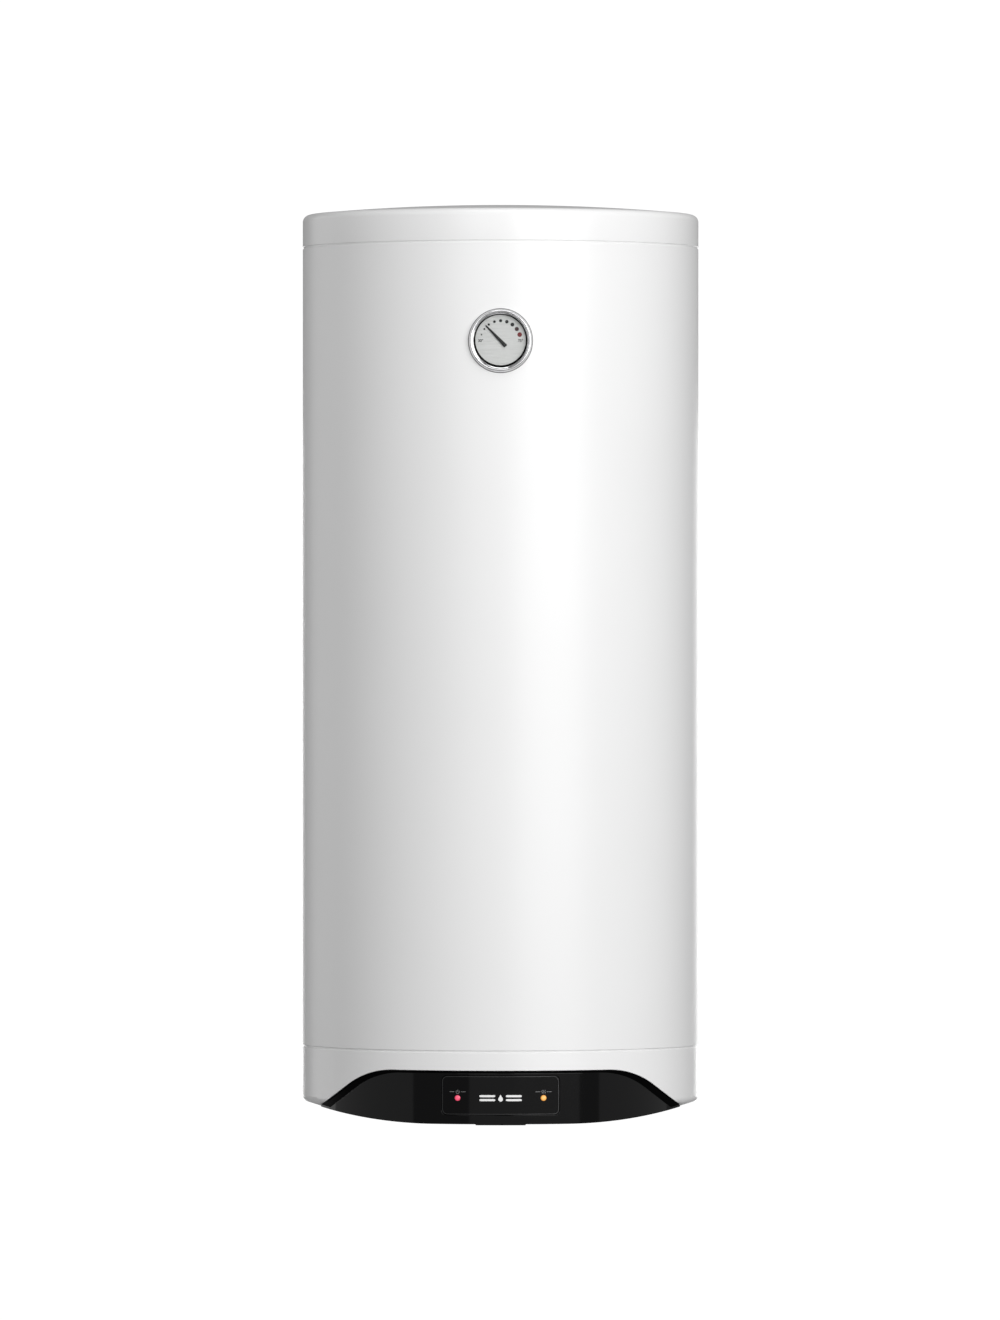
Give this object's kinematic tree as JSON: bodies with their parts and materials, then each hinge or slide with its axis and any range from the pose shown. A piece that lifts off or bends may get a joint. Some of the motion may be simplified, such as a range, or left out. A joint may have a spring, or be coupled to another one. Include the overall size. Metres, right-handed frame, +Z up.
{
  "type": "wall-hung electric storage water heater",
  "caption": "Tall white cylindrical wall-hung electric water heater with a round dial thermometer and a black curved fascia that carries a red and an amber lamp.",
  "frame": {"origin": "centre of the four wall-bolt holes, on the wall plane", "axes": "+Z up along the casing, +Y into the wall, so the front faces -Y; +X to the right seen from the front"},
  "size_m": [0.45, 0.474, 1.0354],
  "materials": {
    "white_enamel": "smooth gloss paint",
    "white_plastic": "smooth gloss",
    "black_gloss": "high gloss",
    "red_lens": "clear tinted",
    "amber_lens": "clear tinted",
    "lamp_body": "moulded",
    "circuit_board": "lacquered",
    "foam": "rough foam",
    "tank_enamel": "vitreous enamel",
    "zinc_steel": "zinc plated",
    "seal_rubber": "matt",
    "element_sheath": "drawn tube",
    "brass_parts": "turned",
    "magnesium": "cast, dull",
    "black_plastic": "satin",
    "pale_plastic": "satin",
    "red_plastic": "smooth",
    "blue_plastic": "smooth",
    "spring_steel": "drawn",
    "wire_sleeve": "smooth sleeve",
    "bright_chrome": "polished",
    "case_steel": "pressed",
    "dial_silver": "satin lacquer",
    "pointer_black": "satin paint",
    "clear_glass": "clear"
  },
  "bodies": {
    "heater": {"amber_lamp_lens": "amber_lens", "anode": "magnesium", "anode_nut": "zinc_steel", "base_plate": "zinc_steel", "bimetal_coil": "spring_steel", "bottom_cover": "white_plastic", "bracket_bolts": "zinc_steel", "bracket_bosses": "tank_enamel", "cable_gland": "black_plastic", "cable_gland_nut": "black_plastic", "cold_colour_ring": "blue_plastic", "cold_inlet_diffuser": "pale_plastic", "cold_inlet_nipple": "zinc_steel", "cover_screws": "zinc_steel", "earth_screw": "zinc_steel", "element_terminals": "brass_parts", "fascia": "black_gloss", "flange_gasket": "seal_rubber", "flange_neck": "tank_enamel", "flange_nuts": "zinc_steel", "flange_plate": "tank_enamel", "flange_studs": "zinc_steel", "foam_insulation": "foam", "heating_element": "element_sheath", "hot_colour_ring": "red_plastic", "hot_outlet_nipple": "zinc_steel", "hot_outlet_pipe": "zinc_steel", "indicator_board": "circuit_board", "indicator_window": "black_gloss", "internal_wires": "wire_sleeve", "jacket": "white_enamel", "lamps": "lamp_body", "pipe_liners": "pale_plastic", "pipe_tray": "white_plastic", "red_lamp_lens": "red_lens", "reset_spring": "spring_steel", "sensor_pockets": "element_sheath", "tank_bottom_dome": "tank_enamel", "tank_shell": "tank_enamel", "tank_top_dome": "tank_enamel", "terminal_block": "pale_plastic", "terminal_screws": "brass_parts", "thermometer_bezel": "bright_chrome", "thermometer_case": "case_steel", "thermometer_dial": "dial_silver", "thermometer_glass": "clear_glass", "thermometer_stem": "brass_parts", "thermostat_body": "black_plastic", "thermostat_rods": "element_sheath", "top_cover": "white_plastic", "underside_panel": "white_plastic", "wall_bracket_lower": "white_enamel", "wall_bracket_upper": "white_enamel"},
    "dial_pointer": {"thermometer_pointer": "pointer_black", "thermometer_arbor": "spring_steel"},
    "temperature_knob": {"thermostat_knob": "black_plastic", "thermostat_spindle": "pale_plastic"},
    "cutout_button": {"reset_button": "red_plastic"}
  },
  "joints": [
    {"name": "pointer_turn", "type": "hinge", "parent": "heater", "child": "dial_pointer", "pos_m": [0, -0.4662, 0.36], "axis": [0, 1, 0], "range_deg": [-46, 134], "stiffness_Nm_per_rad": 0.002},
    {"name": "knob_turn", "type": "hinge", "parent": "heater", "child": "temperature_knob", "pos_m": [-0.012, -0.257, -0.509], "axis": [0, 0, 1], "range_deg": [-135, 135]},
    {"name": "button_press", "type": "slide", "parent": "heater", "child": "cutout_button", "axis": [0, 0, 1], "range_m": [0, 0.002], "stiffness_N_per_m": 400, "springref_m": -0.001, "deforming": ["reset_spring"]}
  ]
}
